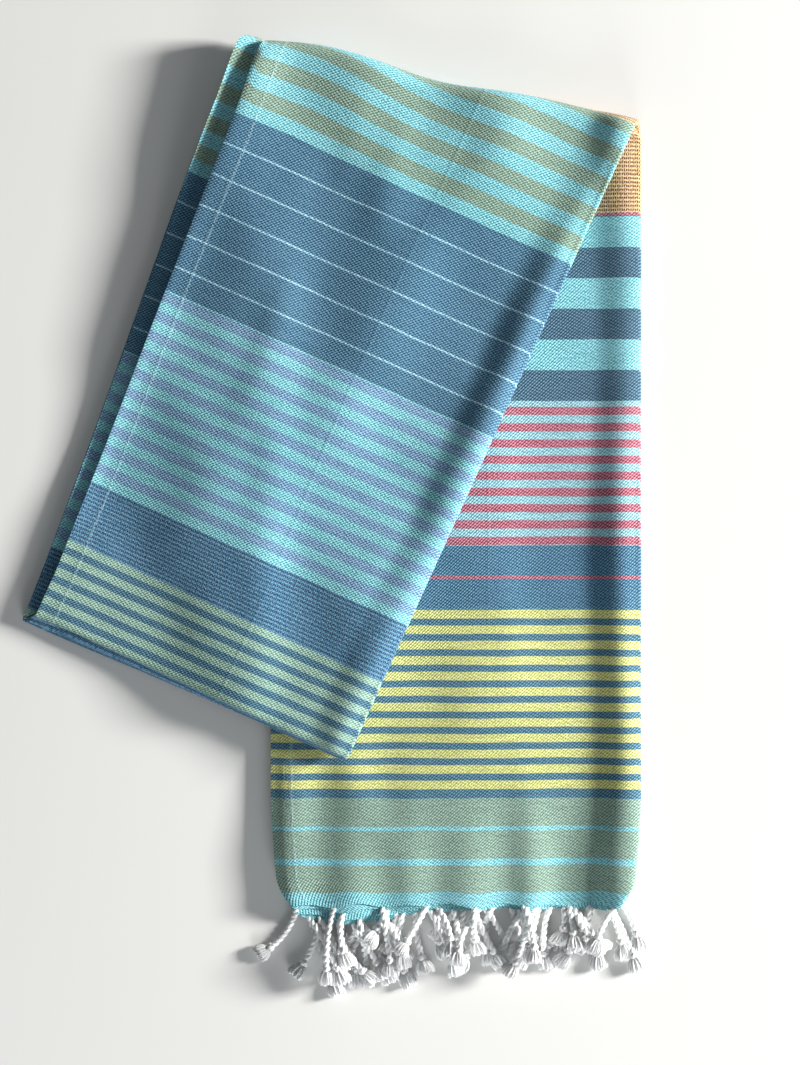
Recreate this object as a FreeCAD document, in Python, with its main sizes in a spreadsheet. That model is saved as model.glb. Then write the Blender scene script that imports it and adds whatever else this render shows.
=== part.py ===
"""A folded flat-woven cotton towel with a knotted fringe, lying on a table.

The towel is folded into quarters across its width, then in half along its length, so that both fringed ends
lie together at one end of a strip of eight leaves. The strip is folded once more over a slanted crease: the back
arm lies on the table, and the front arm lies on the back arm and droops off its left side to the table.

Millimetres. +Z is up, +Y points from the fringe to the crease, +X to the right. The origin is the middle of the
whole object on the table.
"""

import FreeCAD, Part
import math
import os
import Sketcher

DIMENSIONS = {
    "cloth_width": 900.0,  # the flat towel, selvedge to selvedge
    "cloth_length": 1800.0,  # the flat towel, hem to hem, without its fringe
    "stack_height": 9.0,  # eight leaves lying loosely on each other
    "back_reach": 491.0,  # hem to crease, on the middle line of the back arm
    "bend_take_up": 20.0,  # cloth that the crease's bend takes from the front arm
    "crease_slant": 12.2,  # degrees that the crease falls towards the right
    "hem_inset": 9.0,  # how far each side of the strip is pulled in at the hem
    "hem_taper": 70.0,  # length over which it is pulled in
    "edge_round": 3.0,  # rounding of the strip's folded edges
    "droop_run": 46.0,  # width over which the front arm comes down to the table
    "cord_diameter": 3.4,  # one twisted tassel cord
    "knot_across": 6.0,
    "knot_height": 4.2,
    "tuft_length": 11.0,  # loose yarn ends past the knot
    "tuft_neck": 3.0,  # width of the tuft at its knot
    "tuft_width": 7.0,  # width of the tuft at its tips
    "tuft_height": 3.0,
    "clearance": 0.3,  # gap between separate pieces
    "table_gap": 0.1,  # air under the lowest knots
    "centre_x": 0.0,  # the whole object's middle, measured from the strip's lower left corner
    "centre_y": 0.0,
}

LEAVES = 8
TASSELS_PER_LEAF = 7

# A tassel's length, hem to tips: neighbours are longer and shorter in turn, and a wave runs along each level.
MEAN_HANG = 48.0
HANG_STAGGER = 9.0
HANG_WANDER = 7.0
WANDER_STEP = 2.4  # radians from one tassel to the next
WANDER_SHIFT = 3.0  # radians from the lower level to the upper one

# The tassels lean left and right in a slow wave, in degrees, with its steps in radians.
LEAN_SWING = 5.0
SWING_STEP = 0.25
SWING_SHIFT = 2.0

# Each level of the fringe has the tassels of four leaves side by side, in this order from left to right.
LEAF_ORDER = (2, 1, 4, 3)

ANGLE_TOLERANCE = 1e-3

doc = FreeCAD.newDocument("folded_towel")
sheet = doc.addObject("Spreadsheet::Sheet", "Dims")
for row, (name, value) in enumerate(DIMENSIONS.items(), start=1):
    sheet.set(f"A{row}", name)
    sheet.set(f"B{row}", str(value))
    sheet.setAlias(f"B{row}", name)
doc.recompute()


def dim(name):
    return float(sheet.get(name))


def bind(obj, **properties):
    """Binds the object's properties to formulas of the sheet's dimensions."""
    for name, formula in properties.items():
        obj.setExpression(name.replace("__", "."), formula)


def to_table_frame(obj):
    """Keeps a piece, drawn from the strip's lower left corner, in the frame of the whole object."""
    obj.setExpression("Placement.Base.x", "-Dims.centre_x")
    obj.setExpression("Placement.Base.y", "-Dims.centre_y")


def outline(body, plane, corners):
    """A closed sketch of straight sides on one of the body's own planes. Each corner is a pair of formulas."""
    sketch = body.newObject("Sketcher::SketchObject", body.Name + "_" + plane)
    support = next(f for f in body.Origin.OriginFeatures if f.Role == plane)
    sketch.AttachmentSupport = [(support, "")]
    sketch.MapMode = "FlatFace"
    points = [FreeCAD.Vector(*(doc_value(sketch, f) for f in corner), 0) for corner in corners]
    count = len(points)
    for i in range(count):
        sketch.addGeometry(Part.LineSegment(points[i], points[(i + 1) % count]), False)
    for i in range(count):
        sketch.addConstraint(Sketcher.Constraint("Coincident", i, 2, (i + 1) % count, 1))
    for i, corner in enumerate(corners):
        for kind, formula, value in zip(("DistanceX", "DistanceY"), corner, points[i][:2]):
            place = sketch.addConstraint(Sketcher.Constraint(kind, -1, 1, i, 1, value))
            sketch.setExpression(f"Constraints[{place}]", formula)
    return sketch


def doc_value(obj, formula):
    value = obj.evalExpression(formula)
    return float(getattr(value, "Value", value))


def pad(body, sketch, length, both_ways=False):
    feature = body.newObject("PartDesign::Pad", body.Name + "_pad")
    feature.Profile = sketch
    feature.Midplane = both_ways
    bind(feature, Length=length)
    sketch.Visibility = False
    return feature


def body_named(name):
    body = doc.addObject("PartDesign::Body", name)
    body.Label = name
    return body


# The slanted crease crosses the strip at these heights above the hem.
STRIP = "Dims.cloth_width / 4"
HALF_RISE = "Dims.cloth_width / 8 * tan(Dims.crease_slant * 1deg)"
CREASE_LEFT = f"Dims.back_reach + {HALF_RISE}"
CREASE_RIGHT = f"Dims.back_reach - {HALF_RISE}"


def back_arm():
    """The strip on the table, from its gathered hem to the crease, with its folded edges rounded."""
    body = body_named("back_arm_cloth")
    corners = [
        ("Dims.hem_inset", "0"),
        (f"{STRIP} - Dims.hem_inset", "0"),
        (STRIP, "Dims.hem_taper"),
        (STRIP, CREASE_RIGHT),
        ("0", CREASE_LEFT),
        ("0", "Dims.hem_taper"),
    ]
    slab = pad(body, outline(body, "XY_Plane", corners), "Dims.stack_height")
    doc.recompute()
    rounded = body.newObject("PartDesign::Fillet", "back_arm_edges")
    rounded.Base = (slab, long_edges(slab.Shape))
    bind(rounded, Radius="Dims.edge_round")
    body.Tip = rounded
    to_table_frame(body)
    return body


def long_edges(shape):
    """The edges along the top and underside of the slab, without those at the crease."""
    crease_run = math.cos(math.radians(dim("crease_slant")))
    names = []
    for i, edge in enumerate(shape.Edges, start=1):
        along = (edge.Vertexes[-1].Point - edge.Vertexes[0].Point).normalize()
        slanted = abs(abs(along.x) - crease_run) < ANGLE_TOLERANCE
        at_crease = slanted and edge.CenterOfMass.y > dim("hem_taper")
        upright = abs(along.z) > ANGLE_TOLERANCE
        if not upright and not at_crease:
            names.append(f"Edge{i}")
    return names


def front_arm():
    """The strip folded over the crease. Its band is level on the back arm and comes down beside it."""
    swing = "2 * Dims.crease_slant * 1deg"
    middle_length = "Dims.cloth_length / 2 - Dims.back_reach - Dims.bend_take_up"
    left_length = f"({middle_length} - {HALF_RISE})"
    right_length = f"({middle_length} + {HALF_RISE})"

    plan = body_named("front_arm_plan")
    corners = [
        ("0", CREASE_LEFT),
        (STRIP, CREASE_RIGHT),
        (f"{STRIP} - {right_length} * sin({swing})", f"{CREASE_RIGHT} - {right_length} * cos({swing})"),
        (f"-{left_length} * sin({swing})", f"{CREASE_LEFT} - {left_length} * cos({swing})"),
    ]
    pad(plan, outline(plan, "XY_Plane", corners), "3 * Dims.stack_height")

    band = body_named("front_arm_band")
    far = "Dims.cloth_width / 2"
    level = "Dims.stack_height + Dims.clearance"
    side = [
        (STRIP, level),
        (STRIP, f"{level} + Dims.stack_height"),
        ("0", f"{level} + Dims.stack_height"),
        ("-Dims.droop_run", "Dims.stack_height"),
        (f"-{far}", "Dims.stack_height"),
        (f"-{far}", "0"),
        ("-Dims.droop_run", "0"),
        ("0", level),
    ]
    pad(band, outline(band, "XZ_Plane", side), "2 * Dims.cloth_length", both_ways=True)

    arm = doc.addObject("Part::Common", "front_arm_cloth")
    arm.Label = "front_arm_cloth"
    arm.Base = plan
    arm.Tool = band
    to_table_frame(arm)
    return arm


def crease_bend():
    """Where the eight leaves turn over: half a round bar along the slanted crease."""
    bend = doc.addObject("Part::Cylinder", "crease_bend")
    bend.Label = "crease_bend"
    bend.Angle = 180
    radius = "(Dims.stack_height + Dims.clearance / 2)"
    bind(bend, Radius=radius, Height=f"{STRIP} / cos(Dims.crease_slant * 1deg)")
    lying = FreeCAD.Rotation(FreeCAD.Vector(0, 1, 0), 90)
    bend.Placement.Rotation = FreeCAD.Rotation(FreeCAD.Vector(0, 0, 1), -dim("crease_slant")) * lying
    bind(
        bend,
        Placement__Base__x="-Dims.centre_x",
        Placement__Base__y=f"{CREASE_LEFT} - Dims.centre_y",
        Placement__Base__z=radius,
    )
    return bend


def tassel(name, hang, root, lean):
    """A twisted cord from the hem, its knot, and the loose ends past the knot, lying along the table."""
    cord = doc.addObject("Part::Cylinder", name + "_cord")
    bind(cord, Radius="Dims.cord_diameter / 2", Height=f"{hang} - Dims.tuft_length - Dims.knot_across / 2")
    cord.Placement.Rotation = FreeCAD.Rotation(FreeCAD.Vector(1, 0, 0), -90)

    knot = doc.addObject("Part::Ellipsoid", name + "_knot")
    bind(knot, Radius1="Dims.knot_height / 2", Radius2="Dims.knot_across / 2", Radius3="Dims.knot_across / 2")
    knot.setExpression("Placement.Base.y", f"{hang} - Dims.tuft_length - Dims.knot_across / 2")

    tuft = doc.addObject("Part::Wedge", name + "_tuft")
    for side, sign in (("min", "-"), ("max", "")):
        tuft.setExpression("X" + side, f"{sign}Dims.tuft_neck / 2")
        tuft.setExpression("X2" + side, f"{sign}Dims.tuft_width / 2")
        tuft.setExpression("Z" + side, f"{sign}Dims.tuft_neck / 2")
        tuft.setExpression("Z2" + side, f"{sign}Dims.tuft_height / 2")
    tuft.Ymin = 0
    bind(tuft, Ymax="Dims.tuft_length + Dims.knot_across / 2")
    tuft.setExpression("Placement.Base.y", f"{hang} - Dims.tuft_length - Dims.knot_across / 2")

    whole = doc.addObject("Part::MultiFuse", name)
    whole.Label = name
    whole.Shapes = [cord, knot, tuft]
    whole.Placement.Rotation = FreeCAD.Rotation(FreeCAD.Vector(0, 0, 1), 180 + lean)
    bind(
        whole,
        Placement__Base__x=f"{root} - Dims.centre_x",
        Placement__Base__y="-Dims.clearance - Dims.centre_y",
    )
    return whole


def fringe():
    """All tassels, evenly spaced in two levels: the lower four leaves' on the table, the upper four's on them."""
    pieces = []
    per_level = LEAVES // 2 * TASSELS_PER_LEAF
    for level in range(2):
        for n in range(per_level):
            leaf = LEAF_ORDER[n % 4] + 4 * (1 - level)
            name = f"leaf_{leaf}_tassel_{n // 4 + 1}"
            wander = HANG_WANDER * math.sin(WANDER_STEP * n + WANDER_SHIFT * level)
            hang = MEAN_HANG + HANG_STAGGER * (-1) ** (n + level) + wander
            lean = LEAN_SWING * math.sin(SWING_STEP * n + SWING_SHIFT * level)
            inner = f"({STRIP} - 2 * Dims.hem_inset)"
            root = f"Dims.hem_inset + {inner} * {n + 0.5} / {per_level}"
            piece = tassel(name, hang, root, lean)
            height = "Dims.knot_height / 2 + Dims.table_gap"
            if level == 1:
                height += " + Dims.knot_height + Dims.clearance"
            bind(piece, Placement__Base__z=height)
            pieces.append(piece)
    return pieces


def centre(pieces):
    """Puts the origin under the middle of the whole object."""
    whole = FreeCAD.BoundBox()
    for piece in pieces:
        whole.add(piece.Shape.BoundBox)
    sheet.set(sheet.getCellFromAlias("centre_x"), str(round(whole.Center.x, 3)))
    sheet.set(sheet.getCellFromAlias("centre_y"), str(round(whole.Center.y, 3)))


cloth = [back_arm(), crease_bend(), front_arm()]
pieces = cloth + fringe()
doc.recompute()
centre(pieces)
doc.recompute()

for obj in doc.Objects:
    if {"Invalid", "Error"} & set(obj.State):
        raise RuntimeError(f"{obj.Name} failed: {obj.State}")
for piece in pieces:
    if piece.Shape.isNull() or not piece.Shape.isValid():
        raise RuntimeError(f"{piece.Label} has no valid shape")

os.makedirs("parts", exist_ok=True)
for piece in pieces:
    piece.Shape.exportStep(os.path.join("parts", piece.Label + ".step"))
print(len(pieces), "pieces written")
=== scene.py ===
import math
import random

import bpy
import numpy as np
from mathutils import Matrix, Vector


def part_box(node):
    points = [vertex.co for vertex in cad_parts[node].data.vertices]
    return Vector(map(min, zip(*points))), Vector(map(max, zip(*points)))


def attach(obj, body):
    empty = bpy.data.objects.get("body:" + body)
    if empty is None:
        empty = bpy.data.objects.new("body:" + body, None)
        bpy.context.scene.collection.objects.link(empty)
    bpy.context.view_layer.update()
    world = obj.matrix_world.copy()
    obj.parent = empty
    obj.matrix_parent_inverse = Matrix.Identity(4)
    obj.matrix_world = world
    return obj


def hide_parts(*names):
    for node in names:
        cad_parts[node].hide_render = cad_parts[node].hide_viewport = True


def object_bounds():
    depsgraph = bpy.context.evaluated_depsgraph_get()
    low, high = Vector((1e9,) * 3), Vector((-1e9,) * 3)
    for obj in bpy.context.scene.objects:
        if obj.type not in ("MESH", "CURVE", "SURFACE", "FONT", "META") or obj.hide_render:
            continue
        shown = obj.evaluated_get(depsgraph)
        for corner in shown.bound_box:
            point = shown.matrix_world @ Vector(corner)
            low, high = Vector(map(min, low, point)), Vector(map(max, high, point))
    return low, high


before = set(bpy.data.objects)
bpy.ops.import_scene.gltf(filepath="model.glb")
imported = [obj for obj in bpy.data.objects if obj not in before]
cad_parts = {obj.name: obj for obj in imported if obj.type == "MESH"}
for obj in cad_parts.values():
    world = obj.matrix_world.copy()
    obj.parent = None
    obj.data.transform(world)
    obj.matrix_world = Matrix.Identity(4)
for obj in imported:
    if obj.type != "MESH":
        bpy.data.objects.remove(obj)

# A folded flat-woven striped cotton towel with a knotted white fringe, seen from above on a pale table.
#
# The cloth is one sheet, 0.90 x 1.80 m, laid out as a grid of flat places (u across, v along). The folds
# carry them to their places in space: into quarters across, in half along, and over the slanted crease.
# Each fold keeps the cloth's lengths. Soft relief, gathers and the overhanging arm's droop come last, for
# all leaves together, so that no leaf crosses another. Metres, +Z up, the frame's own origin.

CAD_LOW, CAD_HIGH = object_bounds()
BACK_LOW, BACK_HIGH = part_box("back_arm_cloth")
BEND_LOW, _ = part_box("crease_bend")

# The cloth
WIDTH, LENGTH = 0.90, 1.80
THICKNESS = 0.0005
LEAVES = 8
PITCH = (BACK_HIGH.z - BACK_LOW.z) / LEAVES  # height that each leaf takes in the stack
STRIP = BACK_HIGH.x - BACK_LOW.x  # width of the folded strip
STRIP_LEFT = BACK_LOW.x
HEM_Y = BACK_LOW.y
HEM_STEP = 0.005  # how far the second hem lies inside the first one
ARM_GAP = 0.0012  # air between the two arms

# The crease falls to the right across the strip.
CREASE_LEFT_Y = BACK_HIGH.y
CREASE_RIGHT_Y = BEND_LOW.y
SLANT = math.atan((CREASE_LEFT_Y - CREASE_RIGHT_Y) / STRIP)
FOLD_HEIGHT = LEAVES * PITCH + ARM_GAP / 2  # the leaves turn over at this height
MOST_RELIEF = 0.0065  # the relief nowhere lifts or sinks a leaf by more

# The fringe
TASSELS_PER_LEAF = 7
TASSEL_PITCH = WIDTH / (4 * TASSELS_PER_LEAF)
FIRST_PHASE, SECOND_PHASE = 0.125, 0.375  # pitches from the selvedge to each end's first tassel
CORD_RADIUS = 0.00195
PLY_RADIUS = 0.00110
PLY_TURN = 0.0078  # one full turn of the two plies
KNOT_RADIUS = 0.0030
KNOT_PLY_RADIUS = 0.00125
KNOT_POINTS = 44
TUFT_LENGTH = 0.0105
TUFT_SPREAD = 0.0052
YARN_ENDS = 60
YARN_RADIUS = 0.00070
GOLDEN_ANGLE = math.pi * (3 - math.sqrt(5))
MOST_LEAN = 0.55  # of a tassel to either side, in radians
LEAST_HEIGHT = 0.00005  # of the fringe above the table


def smooth(x):
    """Rises from 0 to 1 as x goes from 0 to 1, level at both ends."""
    x = np.clip(x, 0.0, 1.0)
    return x * x * (3 - 2 * x)


def hump(x, width):
    """1 at 0, and soon 0 on both sides of it."""
    return np.exp(-((x / width) ** 2))


# ---------------------------------------------------------------- camera, light and table


def set_camera():
    """Straight above the towel, upright as the towel is."""
    above = (0.0405, -0.0037, 1.5)
    seen = 0.650  # how much of the table it sees, from top to bottom
    data = bpy.data.cameras.new("camera")
    data.sensor_width = 36
    data.lens = data.sensor_width * above[2] / seen
    camera = bpy.data.objects.new("camera", data)
    camera.location = above
    bpy.context.collection.objects.link(camera)
    bpy.context.scene.camera = camera


def add_light(name, place, size, power, colour):
    """A square lamp that faces the middle of the towel."""
    data = bpy.data.lights.new(name, "AREA")
    data.size = size
    data.energy = power
    data.color = colour
    light = bpy.data.objects.new(name, data)
    light.location = place
    light.rotation_euler = (-Vector(place)).to_track_quat("-Z", "Y").to_euler()
    bpy.context.collection.objects.link(light)


def set_light():
    """A low window on the right, which brings out the folds, and a little light from elsewhere."""
    warm_white, cool_white = (1.0, 0.985, 0.96), (0.95, 0.98, 1.0)
    add_light("window", (3.2, 0.50, 1.08), size=0.7, power=312.0, colour=warm_white)
    add_light("overhead", (-0.3, 0.2, 1.9), size=1.6, power=3.0, colour=cool_white)
    add_light("front", (0.3, -1.8, 0.5), size=0.9, power=20.0, colour=cool_white)
    world = bpy.data.worlds.new("soft_room")
    world.use_nodes = True
    room = world.node_tree.nodes["Background"]
    room.inputs["Color"].default_value = (0.9, 0.95, 1.0, 1.0)
    room.inputs["Strength"].default_value = 0.12
    bpy.context.scene.world = world
    bpy.context.scene.view_settings.view_transform = "Standard"


# ---------------------------------------------------------------- shader nodes as plain sums


class Wire:
    """A value socket that can be added, multiplied and so on, each time by a new Math node."""

    def __init__(self, paint, socket):
        self.paint = paint
        self.socket = socket

    def math(self, operation, *others, clamp=False):
        settings = {"operation": operation, "use_clamp": clamp}
        return self.paint.node("ShaderNodeMath", settings, self, *others)

    def __add__(self, other):
        return self.math("ADD", other)

    def __radd__(self, other):
        return self.math("ADD", other)

    def __sub__(self, other):
        return self.math("SUBTRACT", other)

    def __rsub__(self, other):
        return self.paint.node("ShaderNodeMath", {"operation": "SUBTRACT"}, other, self)

    def __mul__(self, other):
        return self.math("MULTIPLY", other)

    def __rmul__(self, other):
        return self.math("MULTIPLY", other)

    def __truediv__(self, other):
        return self.math("DIVIDE", other)

    def __abs__(self):
        return self.math("ABSOLUTE")


class Paint:
    """One material's nodes."""

    def __init__(self, name, roughness, sheen):
        self.material = bpy.data.materials.new(name)
        self.material.use_nodes = True
        self.tree = self.material.node_tree
        self.shader = self.tree.nodes["Principled BSDF"]
        self.shader.inputs["Roughness"].default_value = roughness
        self.shader.inputs["Sheen Weight"].default_value = sheen
        self.shader.inputs["Sheen Roughness"].default_value = 0.6
        self.shader.inputs["Specular IOR Level"].default_value = 0.25

    def node(self, kind, settings, *inputs, output=0, at=(), **named):
        """Adds a node of that kind. Its sockets are fed in order, by number (at) or by name."""
        made = self.tree.nodes.new(kind)
        for name, value in settings.items():
            setattr(made, name, value)
        for place, value in {**dict(enumerate(inputs)), **dict(at), **named}.items():
            self.feed(made.inputs[place], value)
        return Wire(self, made.outputs[output])

    def feed(self, socket, value):
        """Joins a wire to a socket, or sets the socket to a plain value."""
        if isinstance(value, Wire):
            self.tree.links.new(value.socket, socket)
        else:
            socket.default_value = value

    def mix(self, factor, first, second):
        """The first colour where factor is 0, the second where it is 1."""
        colours = {6: first, 7: second}
        return self.node("ShaderNodeMix", {"data_type": "RGBA"}, factor, output=2, at=colours)

    def above(self, value, edge, softness):
        """0 below the edge, 1 above it."""
        return (value - (edge - softness / 2)).math("DIVIDE", softness, clamp=True)

    def between(self, value, low, high, softness):
        """1 between the two edges, 0 outside them."""
        return self.above(value, low, softness) * (1 - self.above(value, high, softness))

    def bands(self, value, centre, pitch, width, softness):
        """1 on evenly spaced bands of that width."""
        off = abs(((value - centre) / pitch + 0.5).math("FLOORED_MODULO", 1.0) - 0.5) * pitch
        return 1 - self.above(off, width / 2, softness)

    def wave(self, value, pitch):
        """Swings between 0 and 1, once in each pitch."""
        return (value * (2 * math.pi / pitch)).math("COSINE") * 0.5 + 0.5

    def finish(self, colour, height, strength, distance):
        """Colours the shader, roughens it with the height, and gives the finished material."""
        self.feed(self.shader.inputs["Base Color"], colour)
        bump = self.node("ShaderNodeBump", {}, Height=height, Strength=strength, Distance=distance)
        self.feed(self.shader.inputs["Normal"], bump)
        return self.material


def cotton(red, green, blue):
    """A dye's colour, given as on a shade card (0 to 255), for a shader."""
    shares = [value / 255 for value in (red, green, blue)]
    return tuple(s / 12.92 if s < 0.04045 else ((s + 0.055) / 1.055) ** 2.4 for s in shares) + (1.0,)


TURQUOISE = cotton(126, 203, 214)
SAGE = cotton(136, 166, 147)
YELLOW = cotton(212, 214, 122)
TEAL = cotton(60, 112, 138)
DENIM = cotton(60, 114, 146)
PALE_LINE = cotton(150, 200, 222)
RED = cotton(182, 92, 112)
PALE_TURQUOISE = cotton(146, 198, 210)
SLATE = cotton(60, 100, 126)
CREAM = cotton(222, 186, 136)
RUST = cotton(84, 34, 30)
SAND = cotton(134, 164, 144)
LAVENDER = cotton(118, 160, 196)
MIST = cotton(96, 150, 184)
INK = cotton(28, 62, 92)
LEAF_GREEN = cotton(150, 188, 170)

PALE_WARP = cotton(176, 208, 218)
PRESSED_LINE = cotton(190, 226, 236)

# The woven design: how far from a hem each of its parts starts.
SAGE_FROM = 0.008
TEAL_FROM = 0.065
DENIM_FROM = 0.180
RED_STRIPES_FROM = 0.2185
SLATE_BANDS_FROM = 0.306
RED_LINE_FROM = 0.4185
RUST_DASHES_FROM = 0.4205
SAND_FROM = 0.4860
PALE_LINES_FROM = 0.5790
LAVENDER_FROM = 0.6935
INK_DASHES_FROM = 0.8180
LEAF_GREEN_FROM = 0.8555
PAST_MIDDLE = 0.9100  # farther than any place is from the nearer hem

SAND_PITCH = 0.01925
EXTRA_SAND_AT = 0.5264  # here two more sand stripes are put in, in the first half only
STRIPE_EDGE = 0.0004  # how softly a stripe ends
DASH_PITCH = 0.00125
WEAVE = 0.0020  # from one diagonal of the twill to the next


def striped_cotton():
    """The stripes run across the towel, the same from both hems but for the extra sand stripes."""
    p = Paint("striped_cotton", roughness=0.9, sheen=0.10)
    flat = p.node("ShaderNodeUVMap", {"uv_map": "Flat"})
    across = p.node("ShaderNodeSeparateXYZ", {}, flat, output=0)
    along = p.node("ShaderNodeSeparateXYZ", {}, flat, output=1)

    # Threads lie a little unevenly, so a stripe's edge wavers.
    flat_noise = {"noise_dimensions": "2D"}
    waver = p.node("ShaderNodeTexNoise", flat_noise, Vector=flat, Scale=38.0, Detail=2.0)
    from_first_hem = along - p.above(along, EXTRA_SAND_AT, 0.0001) * (2 * SAND_PITCH)
    from_hem = from_first_hem.math("MINIMUM", LENGTH - along) + (waver - 0.5) * 0.0009

    def zone(low, high):
        return p.between(from_hem, low, high, STRIPE_EDGE)

    def stripes(low, high, first, pitch, width):
        """Stripes between low and high, the first one's middle at first."""
        return zone(low, high) * p.bands(from_hem, first, pitch, width, STRIPE_EDGE)

    dash = p.wave(across, DASH_PITCH)

    def lay(colour, mask, dye):
        return p.mix(mask, colour, dye)

    # the hem band, then sage with two fine turquoise lines
    colour = lay(TURQUOISE, zone(SAGE_FROM, TEAL_FROM), SAGE)
    colour = lay(colour, zone(0.0245, 0.0285), TURQUOISE)
    colour = lay(colour, zone(0.0455, 0.0480), TURQUOISE)
    # twelve yellow stripes on teal
    colour = lay(colour, zone(TEAL_FROM, DENIM_FROM), TEAL)
    yellow = stripes(TEAL_FROM + 0.004, DENIM_FROM, first=0.0732, pitch=0.00941, width=0.0052)
    colour = lay(colour, yellow, YELLOW)
    # denim with a fine red line
    colour = lay(colour, zone(DENIM_FROM, RED_STRIPES_FROM), DENIM)
    colour = lay(colour, zone(0.1980, 0.2000), RED)
    # nine red stripes on turquoise
    colour = lay(colour, zone(RED_STRIPES_FROM, SLATE_BANDS_FROM), PALE_TURQUOISE)
    red = stripes(RED_STRIPES_FROM, SLATE_BANDS_FROM - 0.0025, first=0.2213, pitch=0.00985, width=0.0050)
    colour = lay(colour, red, RED)
    # three slate and three turquoise bands, all as wide
    slate = stripes(SLATE_BANDS_FROM, RED_LINE_FROM + 0.0005, first=0.3155, pitch=0.0373, width=0.01865)
    colour = lay(colour, slate, SLATE)
    # a red line, then rows of rust dashes on cream
    colour = lay(colour, zone(RED_LINE_FROM, RUST_DASHES_FROM), RED)
    colour = lay(colour, zone(RUST_DASHES_FROM, SAND_FROM), CREAM)
    rust = stripes(RUST_DASHES_FROM, SAND_FROM, first=0.4220, pitch=0.00240, width=0.00125)
    colour = lay(colour, rust * p.above(dash, 0.30, 0.25), RUST)
    # sand on turquoise
    sand = stripes(SAND_FROM, PALE_LINES_FROM, first=0.4887, pitch=SAND_PITCH, width=0.0098)
    colour = lay(colour, sand, SAND)
    # denim with five fine pale lines
    colour = lay(colour, zone(PALE_LINES_FROM, LAVENDER_FROM), DENIM)
    lines_from, lines_to = PALE_LINES_FROM + 0.006, LAVENDER_FROM - 0.0055
    pale_lines = stripes(lines_from, lines_to, first=0.5980, pitch=0.0201, width=0.0011)
    colour = lay(colour, pale_lines, PALE_LINE)
    # lavender on turquoise
    lavender = stripes(LAVENDER_FROM, INK_DASHES_FROM, first=0.6975, pitch=0.01235, width=0.0062)
    colour = lay(colour, lavender, LAVENDER)
    # rows of ink dashes
    colour = lay(colour, zone(INK_DASHES_FROM, LEAF_GREEN_FROM), MIST)
    ink = stripes(INK_DASHES_FROM, LEAF_GREEN_FROM, first=0.8192, pitch=0.00245, width=0.00135)
    colour = lay(colour, ink * p.above(dash, 0.24, 0.25), INK)
    # leaf green on teal, across the middle of the towel
    colour = lay(colour, zone(LEAF_GREEN_FROM, PAST_MIDDLE), TEAL)
    leaf_green = stripes(LEAF_GREEN_FROM, PAST_MIDDLE, first=0.8576, pitch=0.00927, width=0.0050)
    colour = lay(colour, leaf_green, LEAF_GREEN)

    # The weave: each warp float steps one weft thread up from its neighbour, so the floats show as fine
    # diagonal rows of pale flecks, strongest on the dark dyes, and weaker where the design is dashed.
    diagonals = p.wave(across + along, WEAVE)
    steps_up = p.wave(across * 0.5 - along, WEAVE)
    dashed = zone(RUST_DASHES_FROM, SAND_FROM) + zone(INK_DASHES_FROM, LEAF_GREEN_FROM)
    floats = (diagonals * 0.65 + steps_up * 0.35) * (1 - dashed * 0.65) + dashed * 0.30
    grain = p.node("ShaderNodeTexNoise", flat_noise, Vector=flat, Scale=820.0, Detail=2.0)
    streaks = p.node("ShaderNodeMapping", {}, flat, Scale=(60.0, 700.0, 1.0))
    slubs = p.node("ShaderNodeTexNoise", flat_noise, Vector=streaks, Scale=1.0, Detail=2.0)
    patches = p.node("ShaderNodeTexNoise", flat_noise, Vector=flat, Scale=11.0, Detail=4.0)
    shade = floats * 1.30 + grain * 1.50 + slubs * 0.55 + patches * 0.45 - 1.42
    dark = p.node("ShaderNodeHueSaturation", {}, Value=0.46, Saturation=1.22, Fac=1.0, Color=colour)
    light = p.node("ShaderNodeHueSaturation", {}, Value=1.30, Saturation=0.84, Fac=1.0, Color=colour)
    colour = p.mix(shade.math("MULTIPLY", 1.0, clamp=True), dark, light)
    colour = p.mix(p.above(floats, 0.78, 0.30) * 0.34, colour, PALE_WARP)

    # Lines pressed in by an earlier fold: a pale one by the left-hand fold, a faint one down the strip.
    # Each is a band with so long a pitch that only one of them falls on the cloth.
    pale_line_at, faint_line_at, once = 2 * STRIP - 0.0115, 1.42 * STRIP, 10.0
    wander = p.node("ShaderNodeTexNoise", flat_noise, Vector=flat, Scale=6.0, Detail=0.0)
    bent = across + (wander - 0.5) * 0.004
    pressed = p.bands(bent, pale_line_at, once, 0.0012, 0.0016) * p.above(grain, 0.42, 0.2)
    faint = p.bands(bent, faint_line_at, once, 0.0012, 0.0022)
    colour = p.mix(pressed * 0.30, colour, PRESSED_LINE)
    height = floats + grain * 0.9 + slubs * 0.4 + pressed * 0.8 + faint * 0.6
    return p.finish(colour, height, strength=0.8, distance=0.00035)


def white_cotton():
    """Soft spun yarn, with painted shade that makes it a little grey in its hollows."""
    p = Paint("white_cotton", roughness=0.9, sheen=0.35)
    p.shader.inputs["Subsurface Weight"].default_value = 0.6
    p.shader.inputs["Subsurface Radius"].default_value = (1.0, 1.0, 1.0)
    p.shader.inputs["Subsurface Scale"].default_value = 0.003
    place = p.node("ShaderNodeTexCoord", {}, output=3)
    fibres = p.node("ShaderNodeTexNoise", {}, Vector=place, Scale=1400.0, Detail=3.0)
    tufts = p.node("ShaderNodeTexNoise", {}, Vector=place, Scale=260.0, Detail=2.0)
    # painted shade: where the noise sinks the bump into hollows, it also turns the colour grey
    colour = p.mix(fibres * 0.5 + tufts * 0.4, cotton(240, 242, 243), cotton(255, 255, 254))
    return p.finish(colour, fibres + tufts * 0.7, strength=0.5, distance=0.0003)


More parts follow.
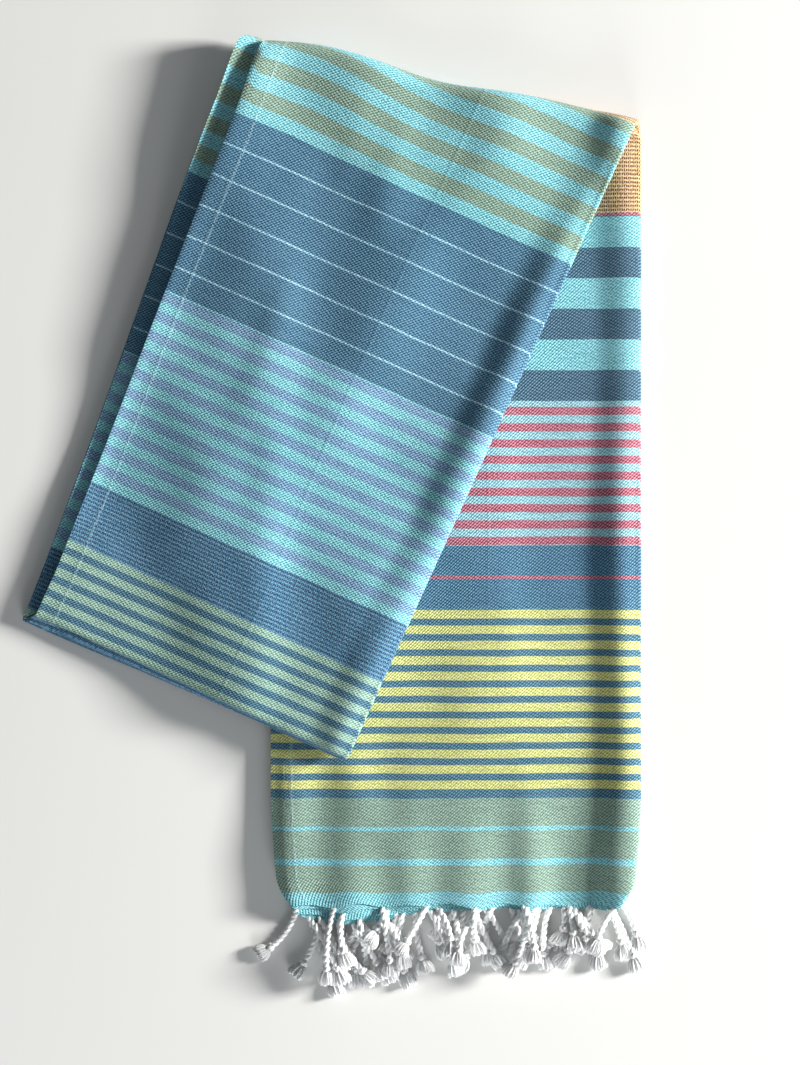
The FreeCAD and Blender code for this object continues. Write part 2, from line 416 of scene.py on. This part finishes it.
def table_top():
    """A plain pale table, hardly clouded."""
    p = Paint("pale_table", roughness=0.7, sheen=0.0)
    place = p.node("ShaderNodeTexCoord", {}, output=3)
    cloudy = p.node("ShaderNodeTexNoise", {}, Vector=place, Scale=3.0, Detail=3.0)
    colour = p.mix(cloudy, cotton(222, 222, 219), cotton(228, 228, 226))
    return p.finish(colour, cloudy, strength=0.05, distance=0.0005)


def add_table():
    """Wide enough to fill the view from low down, and a hair under the towel."""
    bpy.ops.object.select_all(action="DESELECT")
    bpy.ops.mesh.primitive_plane_add(size=16.0, location=(0, 0, CAD_LOW.z - 0.0002))
    table = bpy.context.object
    table.name = "table"
    table.data.materials.append(table_top())


# ---------------------------------------------------------------- the folds

BEND_AT = STRIP - 1.5 * PITCH  # across the strip, where the right-hand bends start
LEFT_BEND_AT = PITCH / 2
TOP_RUN = BEND_AT - LEFT_BEND_AT
SELVEDGE_SPARE = (WIDTH - 2 * TOP_RUN - 2.5 * math.pi * PITCH - 2 * BEND_AT) / 2  # past the left edge
HALF_STACK = LEAVES / 2 * PITCH  # height of the four leaves on each side of the half fold
TOP_RADIUS = 3.5 * PITCH  # of the top leaf round the half fold
HALF_FOLD_AT = (LENGTH + HEM_STEP) / 2 - math.pi * (TOP_RADIUS / 2 + FOLD_HEIGHT - HALF_STACK)


def quarter_fold(u):
    """The towel's width folded twice: the place across the strip and the height in the four leaves.

    From the first selvedge: the lowest leaf, round the outside on the right, the top leaf, the left
    bend, the third leaf, the inner bend on the right, and the second leaf to the other selvedge."""
    outer, small = 1.5 * PITCH, PITCH / 2  # radii of the bends
    small_turn = math.pi * PITCH / 2
    lengths = [BEND_AT + SELVEDGE_SPARE, 1.5 * math.pi * PITCH, TOP_RUN, small_turn, TOP_RUN, small_turn]
    starts = np.concatenate([[0.0], np.cumsum(lengths)])
    on = [u - start for start in starts]
    places = [
        (on[0] - SELVEDGE_SPARE, 0 * u),
        (BEND_AT + outer * np.sin(on[1] / outer), outer - outer * np.cos(on[1] / outer)),
        (BEND_AT - on[2], 3 * PITCH + 0 * u),
        (LEFT_BEND_AT - small * np.sin(on[3] / small), 2.5 * PITCH + small * np.cos(on[3] / small)),
        (LEFT_BEND_AT + on[4], 2 * PITCH + 0 * u),
        (BEND_AT + small * np.sin(on[5] / small), 1.5 * PITCH + small * np.cos(on[5] / small)),
        (BEND_AT - on[6], PITCH + 0 * u),
    ]
    which = [u < end for end in starts[1:]] + [u >= starts[-1]]
    return tuple(np.select(which, [place[i] for place in places]) for i in range(2))


def half_fold(across, height, v):
    """The four leaves folded in half along the towel: how far from the hem each place is, and how high.

    The crease takes up more of the lower leaves than of the upper ones, so the lower ones reach further
    here. On the left the fold isn't pressed flat: the first half's leaves stand out past the second's,
    with a slot between them. Also gives how much a place belongs to the first half."""
    radius = height + PITCH / 2
    middle = (LENGTH + HEM_STEP) / 2 - math.pi * radius
    beyond = v - middle
    quarter = math.pi * radius / 2
    turning = np.abs(beyond) < quarter
    reach = np.where(turning, radius * np.cos(beyond / radius), quarter - np.abs(beyond))
    rise = np.where(turning, -radius * np.sin(beyond / radius), -np.sign(beyond) * radius)
    height = HALF_STACK + rise
    first_half = 1 - smooth(beyond / (2 * quarter) + 0.5)
    on_left = 1 - smooth(across / (0.8 * STRIP))
    slot = np.where(turning, hump(beyond / radius - 0.55, 0.40) * radius / HALF_STACK, 0)
    stand_out = 0.0062 * first_half * np.exp(-np.abs(beyond) / 0.050)
    loose = stand_out - 0.0034 * slot * smooth(across / 0.030)
    along = HALF_FOLD_AT + reach + math.pi * (FOLD_HEIGHT - height) + loose * on_left
    return along, height, first_half


def crease_fold(across, along, height, first_half):
    """The strip folded over the slanted crease. The first half's leaves are tucked in a little there."""
    tuck = 0.0030
    normal = (math.sin(SLANT), math.cos(SLANT))
    tangent = (math.cos(SLANT), -math.sin(SLANT))
    past = across * normal[0] + (along - (CREASE_LEFT_Y - HEM_Y)) * normal[1]
    beside = across * tangent[0] + (along - (CREASE_LEFT_Y - HEM_Y)) * tangent[1]
    radius = FOLD_HEIGHT - height
    angle = past / radius
    turn = np.clip(angle, 0, math.pi)
    # moved along the crease, so that the side folds of all leaves stay in line
    shift = math.pi * height * math.tan(SLANT) + tuck * first_half
    beside = beside - np.clip(angle / math.pi, 0, 1) * shift
    turned = np.where(angle > math.pi, -(past - math.pi * radius), radius * np.sin(turn))
    height = np.where(past > 0, FOLD_HEIGHT - radius * np.cos(turn), height)
    past = np.where(past > 0, turned, past)
    x = STRIP_LEFT + beside * tangent[0] + past * normal[0]
    y = CREASE_LEFT_Y + beside * tangent[1] + past * normal[1]
    return x, y, height


def arm_place(x, y):
    """Where on the unfolded strip a place of the front arm came from.

    It is mirrored in the crease, and moved by what the crease's slant shifts the cloth across."""
    normal = (math.sin(SLANT), math.cos(SLANT))
    past = (x - STRIP_LEFT) * normal[0] + (y - CREASE_LEFT_Y) * normal[1]
    shift = math.pi * FOLD_HEIGHT * math.tan(SLANT)
    return x - STRIP_LEFT - 2 * past * normal[0] + shift, y - HEM_Y - 2 * past * normal[1]


def waves(a, b, seed, count, short, long, size):
    """A few soft waves that run more or less along an arm, from a short to a long wavelength."""
    most_turn = 0.75
    chance = random.Random(seed)
    total = 0 * a
    for _ in range(count):
        turn = chance.uniform(-most_turn, most_turn)
        wavelength = chance.uniform(short, long)
        phase = chance.uniform(0, 2 * math.pi)
        step = (a * math.cos(turn) + b * math.sin(turn)) * 2 * math.pi / wavelength
        total = total + np.sin(step + phase) * wavelength / long
    return total * size / math.sqrt(count)


def ridge(a, b, start, end, height, width):
    """A soft fold that runs from one place of an arm to another and fades at both ends."""
    run = (end[0] - start[0], end[1] - start[1])
    length = math.hypot(*run)
    on = ((a - start[0]) * run[0] + (b - start[1]) * run[1]) / length**2
    off = ((a - start[0]) * run[1] - (b - start[1]) * run[0]) / length
    return height * hump(off, width) * np.exp(-((2.2 * (on - 0.5)) ** 4))


def folded_edge(inside, peak_at, peak, low_at, low):
    """The cloth stands full along a folded edge, sinks beside it and comes level farther in."""
    fall = (peak + low) * smooth((inside - peak_at) / (low_at - peak_at))
    return peak * smooth(inside / peak_at) - fall + low * smooth((inside - low_at) / 0.070)


# Soft folds of each arm: from one place (across, along) to another, with a height and a width.
BACK_RIDGES = [
    ((0.150, 0.060), (0.138, 0.300), 0.0010, 0.009),
    ((0.085, 0.020), (0.040, 0.090), 0.0014, 0.008),
    ((0.110, 0.010), (0.125, 0.110), -0.0012, 0.010),
    ((0.178, 0.030), (0.170, 0.130), 0.0010, 0.008),
    ((0.020, 0.020), (0.034, 0.110), -0.0012, 0.009),
]
FRONT_RIDGES = [
    ((0.092, 0.500), (0.110, 0.590), 0.0013, 0.009),
    ((0.145, 0.490), (0.120, 0.600), -0.0012, 0.009),
    ((0.060, 0.520), (0.075, 0.640), -0.0010, 0.009),
    ((0.166, 0.890), (0.068, 0.630), 0.0026, 0.013),
    ((0.070, 0.590), (0.085, 0.740), 0.0015, 0.009),
]

# The hem's gathers: a place across, a height and a width each.
HEM_GATHERS = [
    (0.014, 0.0042, 0.012),
    (0.050, 0.0056, 0.011),
    (0.085, 0.0028, 0.009),
    (0.119, 0.0042, 0.013),
    (0.158, 0.0044, 0.009),
    (0.178, -0.0026, 0.011),
    (0.211, 0.0030, 0.012),
]


def back_relief(x, y):
    """How far the back arm's top stands proud: a full folded edge, a valley beside it, hem gathers."""
    a, b = x - STRIP_LEFT, y - HEM_Y
    inside = STRIP - a + 0.002 * np.sin(b / 0.045)
    edge = folded_edge(inside, peak_at=0.010, peak=0.0036, low_at=0.032, low=0.0052)
    edge = edge * (1 - 0.45 * smooth((b - 0.22) / 0.11))
    # The left edge sinks by the hem, the hem swells, and the waves are calmer beside the folded edge.
    left = -0.0034 * (1 - smooth(a / 0.014)) * (1 - smooth((b - 0.090) / 0.035))
    near_hem = np.exp(-((np.clip(b, 0, 1) / 0.075) ** 2))
    gathers = sum(height * hump(a - place, width) for place, height, width in HEM_GATHERS)
    swell = 0.0018 * hump(b - 0.034, 0.024) * smooth(b / 0.03)
    creases = sum(ridge(a, b, *fold) for fold in BACK_RIDGES)
    calm = 1 - 0.8 * hump(inside - 0.020, 0.020)
    soft = calm * waves(a, b, seed=11, count=7, short=0.034, long=0.110, size=0.0013)
    return edge + left + swell + creases + near_hem * gathers + soft


def front_relief(x, y):
    """The same on the front arm, with the first half's leaves rolled up past a gap at its left edge."""
    a, b = arm_place(x, y)
    inside = STRIP - a + 0.002 * np.sin(b / 0.050)
    edge = folded_edge(inside, peak_at=0.008, peak=0.0034, low_at=0.028, low=0.0026)
    edge = edge * (0.72 + 0.36 * hump(b - 0.65, 0.085)) * (0.6 + 0.4 * smooth((b - 0.47) / 0.10))
    left = 0.0032 * hump(a - 0.003, 0.012)
    roll = 0.0170 * hump(a + 0.0140, 0.0060) - 0.0060 * hump(a + 0.0045, 0.0030)
    creases = sum(ridge(a, b, *fold) for fold in FRONT_RIDGES)
    soft = waves(a, b, seed=5, count=8, short=0.040, long=0.120, size=0.0011)
    return edge + left + roll + creases + soft


def droop(x):
    """How far the part of the front arm beside the back arm comes down."""
    return FOLD_HEIGHT * smooth((STRIP_LEFT - 0.004 - x) / 0.105)


def loosen(across, along, first_half):
    """The first half's leaves lean out on the left. Towards the half fold all leaves draw in a bit."""
    lean = 0.013 * smooth((along - 0.15) / 0.33) - 0.003 * smooth((along - 0.49) / 0.02)
    lean = lean + 0.002 * smooth((along - 0.52) / 0.06) - 0.007 * smooth((along - 0.52) / 0.38)
    across = across - first_half * lean * (1 - across / STRIP)
    return STRIP - (STRIP - across) * (1 - 0.075 * np.clip((along - 0.54) / 0.34, 0, 1))


def gather_hem(u, across, along, height):
    """The tassels pull the hem together, and under the first leaf the others hang lower on the left."""
    gentle_pull = 0.045 * np.clip(1 - along / 0.070, 0, 1.1) ** 1.5
    pull = gentle_pull + 0.070 * np.clip(1 - along / 0.018, 0, 1.3) ** 2
    across = STRIP / 2 + (across - STRIP / 2) * (1 - pull)
    near_hem = np.exp(-np.abs(along) / 0.010)
    from_tassel = u / TASSEL_PITCH - FIRST_PHASE
    scallop = 0.0010 * np.cos(2 * math.pi * from_tassel) + 0.0007 * np.sin(u / 0.0083)
    along = along - scallop * near_hem
    under = 1 - smooth((height / PITCH - 5.0) / 2.2)
    lower = 0.0085 * hump(across - 0.050, 0.034) - 0.0022
    return across, along - under * lower * (1 - smooth(along / 0.20))


def swing_crease(x, y):
    """The crease isn't quite straight. Where the first half's leaves stand out on the left, they reach
    as far over it as the second half's do."""
    on_crease = (x - STRIP_LEFT) * math.cos(SLANT) - (y - CREASE_LEFT_Y) * math.sin(SLANT)
    off_crease = (x - STRIP_LEFT) * math.sin(SLANT) + (y - CREASE_LEFT_Y) * math.cos(SLANT)
    swing = 0.0042 * np.sin(2 * math.pi * on_crease / 0.150) * (1 - smooth(on_crease / 0.26))
    y = y + swing * hump(off_crease, 0.045)
    return y + 0.0070 * smooth((-on_crease - 0.0035) / 0.005) * hump(off_crease, 0.022)


def lay_out(u, v):
    """Carries flat places of the cloth to their places in the folded towel."""
    across, height = quarter_fold(u)
    along, height, first_half = half_fold(across, height, v)
    across = loosen(across, along, first_half)
    across, along = gather_hem(u, across, along, height)
    x, y, height = crease_fold(across, along, height, first_half)
    y = swing_crease(x, y)

    # Each leaf follows the relief and the droop by its share of the height, so no leaves cross.
    share = np.clip(height / FOLD_HEIGHT, 0, 1)
    upper = np.clip(height / FOLD_HEIGHT - 1, 0, 1)
    lift = back_relief(x, y) * share + front_relief(x, y) * upper
    lift = MOST_RELIEF * np.tanh(lift / MOST_RELIEF)
    return np.stack([x, y, height + lift - droop(x) * share], axis=-1)


# ---------------------------------------------------------------- the cloth


def steps(stretches):
    """Places along the cloth, given as stretches of (start, end, step)."""
    places = [0.0]
    for start, end, step in stretches:
        count = max(1, round((end - start) / step))
        places += [start + (end - start) * (i + 1) / count for i in range(count)]
    return np.array(places)


def columns():
    """Each quarter has the same places, so that no leaf cuts through the next: closest by its folds."""
    quarter, bend, rim = STRIP, 0.006, 0.040
    wide, close, closest = 0.0064, 0.0034, 0.0012
    return steps(
        [
            (0.0, quarter - rim, wide),
            (quarter - rim, quarter - bend, close),
            (quarter - bend, quarter + bend, closest),
            (quarter + bend, quarter + rim, close),
            (quarter + rim, 2 * quarter - bend, wide),
            (2 * quarter - bend, 2 * quarter + bend, closest),
            (2 * quarter + bend, 3 * quarter - rim, wide),
            (3 * quarter - rim, 3 * quarter - bend, close),
            (3 * quarter - bend, 3 * quarter + bend, closest),
            (3 * quarter + bend, 3 * quarter + rim, close),
            (3 * quarter + rim, WIDTH, wide),
        ]
    )


def rows():
    """Close together at the hems, on what shows of both arms, over the crease and at the half fold."""
    hem = 0.060
    crease_start, crease_end = 0.455, 0.550
    fold_start, fold_end = LENGTH / 2 - 0.020, LENGTH / 2 + 0.012
    return steps(
        [
            (0.0, hem, 0.0036),
            (hem, crease_start, 0.0085),
            (crease_start, crease_end, 0.0036),
            (crease_end, fold_start, 0.018),
            (fold_start, fold_end, 0.0013),
            (fold_end, LENGTH - crease_end, 0.0062),
            (LENGTH - crease_end, LENGTH - crease_start, 0.0030),
            (LENGTH - crease_start, LENGTH - hem, 0.024),
            (LENGTH - hem, LENGTH, 0.0055),
        ]
    )


def make_cloth(material):
    """The whole sheet as one mesh, with its flat places kept for the woven design."""
    u, v = np.meshgrid(columns(), rows(), indexing="ij")
    places = lay_out(u, v).reshape(-1, 3)
    wide, long = u.shape
    flat = np.stack([u.ravel(), v.ravel()], axis=-1)
    faces = [
        (i * long + j, (i + 1) * long + j, (i + 1) * long + j + 1, i * long + j + 1)
        for i in range(wide - 1)
        for j in range(long - 1)
    ]
    mesh = bpy.data.meshes.new("striped_cloth")
    mesh.from_pydata(places.tolist(), [], faces)
    layer = mesh.uv_layers.new(name="Flat")
    corners = np.array([loop.vertex_index for loop in mesh.loops])
    layer.data.foreach_set("uv", flat[corners].ravel())
    mesh.materials.append(material)
    cloth = bpy.data.objects.new("striped_cloth", mesh)
    bpy.context.collection.objects.link(cloth)
    bpy.ops.object.select_all(action="DESELECT")
    cloth.select_set(True)
    bpy.context.view_layer.objects.active = cloth
    solid = cloth.modifiers.new("thickness", "SOLIDIFY")
    solid.thickness = THICKNESS
    solid.offset = 0.0
    solid.use_even_offset = False
    bpy.ops.object.modifier_apply(modifier="thickness")
    bpy.ops.object.shade_smooth_by_angle(angle=math.radians(60))
    return cloth


# ---------------------------------------------------------------- the fringe


class Shape:
    """The vertices and faces of several tubes, gathered for one mesh."""

    def __init__(self):
        self.places = []
        self.faces = []

    def tube(self, line, radii, sides, closed=False):
        """A round tube along a line of points, one radius at each."""
        line = np.asarray(line, float)
        count = len(line)
        if closed:
            ahead = np.roll(line, -1, axis=0) - np.roll(line, 1, axis=0)
        else:
            ahead = np.gradient(line, axis=0)
        ahead = ahead / np.linalg.norm(ahead, axis=1, keepdims=True)
        side = side_ways(ahead)
        over = np.cross(ahead, side)
        turn = np.arange(sides) * 2 * math.pi / sides
        ring = side[:, None] * np.cos(turn)[None, :, None] + over[:, None] * np.sin(turn)[None, :, None]
        points = line[:, None] + ring * np.broadcast_to(radii, count)[:, None, None]
        base = len(self.places)
        self.places += points.reshape(-1, 3).tolist()
        last = count if closed else count - 1
        for i in range(last):
            here = base + i * sides
            beyond = base + (i + 1) % count * sides
            for k in range(sides):
                n = (k + 1) % sides
                self.faces.append((here + k, here + n, beyond + n, beyond + k))
        if not closed:
            self.faces.append(tuple(base + k for k in reversed(range(sides))))
            self.faces.append(tuple(base + last * sides + k for k in range(sides)))


def side_ways(ahead):
    """Unit vectors square to a line's directions, which turn as little as they can along it."""
    start = np.array([0.0, 0.0, 1.0]) if abs(ahead[0][2]) < 0.9 else np.array([1.0, 0.0, 0.0])
    side = [np.cross(ahead[0], start)]
    side[0] /= np.linalg.norm(side[0])
    for direction in ahead[1:]:
        following = side[-1] - direction * np.dot(side[-1], direction)
        side.append(following / np.linalg.norm(following))
    return np.array(side)


class Pile:
    """The height of what already lies on the table under the fringe, on a fine grid."""

    CELL = 0.0005

    def __init__(self, low, high):
        self.low = low
        size = [int((high[i] - low[i]) / self.CELL) + 1 for i in range(2)]
        self.height = np.zeros(size)

    def cells(self, x, y, radius):
        """The cells under a ball, and how far its surface stands from its middle's height in each."""
        reach = int(radius / self.CELL)
        offsets = [
            (i, j, math.sqrt(max(0.0, radius**2 - (i * self.CELL) ** 2 - (j * self.CELL) ** 2)))
            for i in range(-reach, reach + 1)
            for j in range(-reach, reach + 1)
            if (i * i + j * j) * self.CELL**2 <= radius**2
        ]
        di, dj, dome = (np.array(part) for part in zip(*offsets))
        i = np.clip(int((x - self.low[0]) / self.CELL) + di, 0, self.height.shape[0] - 1)
        j = np.clip(int((y - self.low[1]) / self.CELL) + dj, 0, self.height.shape[1] - 1)
        return i, j, dome

    def rest(self, x, y, radius):
        """The lowest centre height at which a ball of that radius lies on the pile."""
        i, j, dome = self.cells(x, y, radius)
        return float(np.max(self.height[i, j] + dome))

    def add(self, x, y, z, radius):
        """Puts a ball on the pile."""
        i, j, dome = self.cells(x, y, radius)
        self.height[i, j] = np.maximum(self.height[i, j], z + dome)


def lay_tassel(pile, root, hang, lean, curl):
    """A limp cord from its root at the hem, down to what lies below it, out to its tips.

    Gives its line, the distance along it from the root at each point, and how far along the knot is."""
    step, hem_drop, knot_length, steepest = 0.0008, 0.009, 0.0035, 0.45
    count = int(hang / step) + 1
    s = np.arange(count) * step
    heading = lean + curl * (s / hang - 0.35)
    x = root[0] + np.cumsum(np.sin(heading)) * step
    y = root[1] - np.cumsum(np.cos(heading)) * step
    knot_at = hang - TUFT_LENGTH
    radius = np.where(s > knot_at - knot_length, KNOT_RADIUS * 0.86, CORD_RADIUS)
    need = np.array([pile.rest(x[i], y[i], radius[i]) for i in range(count)])
    distance = np.abs(s[:, None] - s[None, :])
    held = np.max(need[None, :] - steepest * distance, axis=1)
    blur = np.exp(-((distance / 0.0022) ** 2))
    level = (blur * held[None, :]).sum(1) / blur.sum(1)
    z = root[2] + (np.maximum(level, need - 0.0002) - root[2]) * smooth(s / hem_drop)
    first_free = 6  # the points before it are still in the hem
    for i in range(first_free, count):
        pile.add(x[i], y[i], z[i], radius[i])
    return np.stack([x, y, z], axis=-1), s, knot_at


def tie_knot(shape, centre, forward, sideways, upward, phase):
    """A knot with three loops, drawn tight and pressed a little flat."""
    t = np.arange(KNOT_POINTS) * 2 * math.pi / KNOT_POINTS + phase
    tie = np.stack([np.sin(t) + 2 * np.sin(2 * t), np.cos(t) - 2 * np.cos(2 * t), -1.3 * np.sin(3 * t)])
    tie = tie * (KNOT_RADIUS - 0.0012) / 3
    loops = centre + np.outer(tie[0], sideways) + np.outer(tie[1], upward) * 0.8
    shape.tube(loops + np.outer(tie[2], forward), KNOT_PLY_RADIUS, sides=7, closed=True)


def fan_out(shape, centre, tips, forward, phase, chance):
    """The loose yarn ends past the knot: a tuft fanned out flat on the table, each yarn bowed outwards."""
    flat_way = np.cross((0.0, 0.0, 1.0), forward)
    flat_way /= np.linalg.norm(flat_way)
    steep_way = np.cross(forward, flat_way)
    for k in range(YARN_ENDS):
        angle = k * GOLDEN_ANGLE + phase
        ring = math.sqrt((k + 0.5) / YARN_ENDS)
        out = flat_way * math.cos(angle) + steep_way * math.sin(angle) * 0.45
        spread = TUFT_SPREAD * ring * chance.uniform(0.9, 1.08)
        end = centre + (tips - centre) * chance.uniform(0.90, 1.10) + out * spread
        end[2] = max(end[2], YARN_RADIUS)
        neck = centre + forward * 0.0010 + out * 0.0012 * ring
        bow = out * spread * chance.uniform(0.15, 0.40)
        yarn = [neck + (end - neck) * q + bow * math.sin(math.pi * q) for q in (0, 0.33, 0.67, 1.0)]
        shape.tube(yarn, YARN_RADIUS * np.array([0.9, 1.0, 1.0, 0.75]), sides=5)


def make_tassel(name, line, s, knot_at, chance, material):
    """Two twisted plies, the knot that ties them, and the loose yarn ends past it."""
    shape = Shape()
    cord = s <= knot_at + 0.0004
    core = line[cord]
    ahead = np.gradient(line, axis=0)
    ahead /= np.linalg.norm(ahead, axis=1, keepdims=True)
    side = side_ways(ahead)
    over = np.cross(ahead, side)
    phase = chance.uniform(0, 2 * math.pi)
    turn = s[cord] * 2 * math.pi / PLY_TURN + phase
    apart = CORD_RADIUS - PLY_RADIUS
    for ply in range(2):
        angle = (turn + ply * math.pi)[:, None]
        offset = side[cord] * np.cos(angle) + over[cord] * np.sin(angle)
        shape.tube(core + offset * apart, PLY_RADIUS * 1.04, sides=8)
    forward = ahead[cord][-1]
    tie_knot(shape, core[-1], forward, side[cord][-1], over[cord][-1], phase)
    fan_out(shape, core[-1], line[-1], forward, phase, chance)

    places = np.array(shape.places)
    places[:, 2] = np.maximum(places[:, 2], LEAST_HEIGHT)
    mesh = bpy.data.meshes.new(name)
    mesh.from_pydata(places.tolist(), [], shape.faces)
    mesh.materials.append(material)
    mesh.polygons.foreach_set("use_smooth", [True] * len(mesh.polygons))
    tassel = bpy.data.objects.new(name, mesh)
    bpy.context.collection.objects.link(tassel)
    return tassel


def leaf_of(u, end):
    """Which leaf of the stack a place of a hem is on, counted from the top one."""
    quarter = min(3, int(u / STRIP))
    from_top = (4, 1, 2, 3)[quarter]
    return from_top if end == 0 else LEAVES + 1 - from_top


def tassel_roots():
    """Where the tassels stand on the hem of each leaf, from left to right."""
    roots = {leaf: [] for leaf in range(1, LEAVES + 1)}
    for end, phase, v in ((0, FIRST_PHASE, 0.0), (1, SECOND_PHASE, LENGTH)):
        for k in range(4 * TASSELS_PER_LEAF):
            u = TASSEL_PITCH * (k + phase)
            roots[leaf_of(u, end)].append(lay_out(np.array([u]), np.array([v]))[0])
    return {leaf: sorted(places, key=lambda place: place[0]) for leaf, places in roots.items()}


def make_fringe(material):
    """All tassels, from the lowest leaf up, each laid on those before it, and longer on the left."""
    into_hem = np.array([0, 0.0015, -0.8 * CORD_RADIUS])
    pile = Pile((STRIP_LEFT - 0.03, CAD_LOW.y - 0.04), (STRIP_LEFT + STRIP + 0.03, HEM_Y + 0.03))
    chance = random.Random(23)
    tassels = []
    roots = tassel_roots()
    for leaf in range(LEAVES, 0, -1):
        shortest, longest = (0.024, 0.044) if leaf <= LEAVES / 2 else (0.030, 0.052)
        for number, root in enumerate(roots[leaf], start=1):
            on_left = 1 - smooth((root[0] - STRIP_LEFT) / 0.080)
            hang = chance.uniform(shortest, longest) + 0.013 * on_left
            lean = max(-MOST_LEAN, min(MOST_LEAN, chance.gauss(0, 0.42)))
            curl = chance.uniform(-1.0, 1.0)
            line, s, knot_at = lay_tassel(pile, root + into_hem, hang, lean, curl)
            tassel = make_tassel(f"white_tassel_{leaf}_{number}", line, s, knot_at, chance, material)
            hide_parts(f"leaf_{leaf}_tassel_{number}")
            tassels.append(tassel)
    return tassels


# ---------------------------------------------------------------- the whole towel

set_camera()
set_light()
add_table()

cloth = make_cloth(striped_cotton())
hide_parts("back_arm_cloth", "crease_bend", "front_arm_cloth")
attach(cloth, "root")

tassels = make_fringe(white_cotton())
for tassel in tassels:
    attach(tassel, "root")
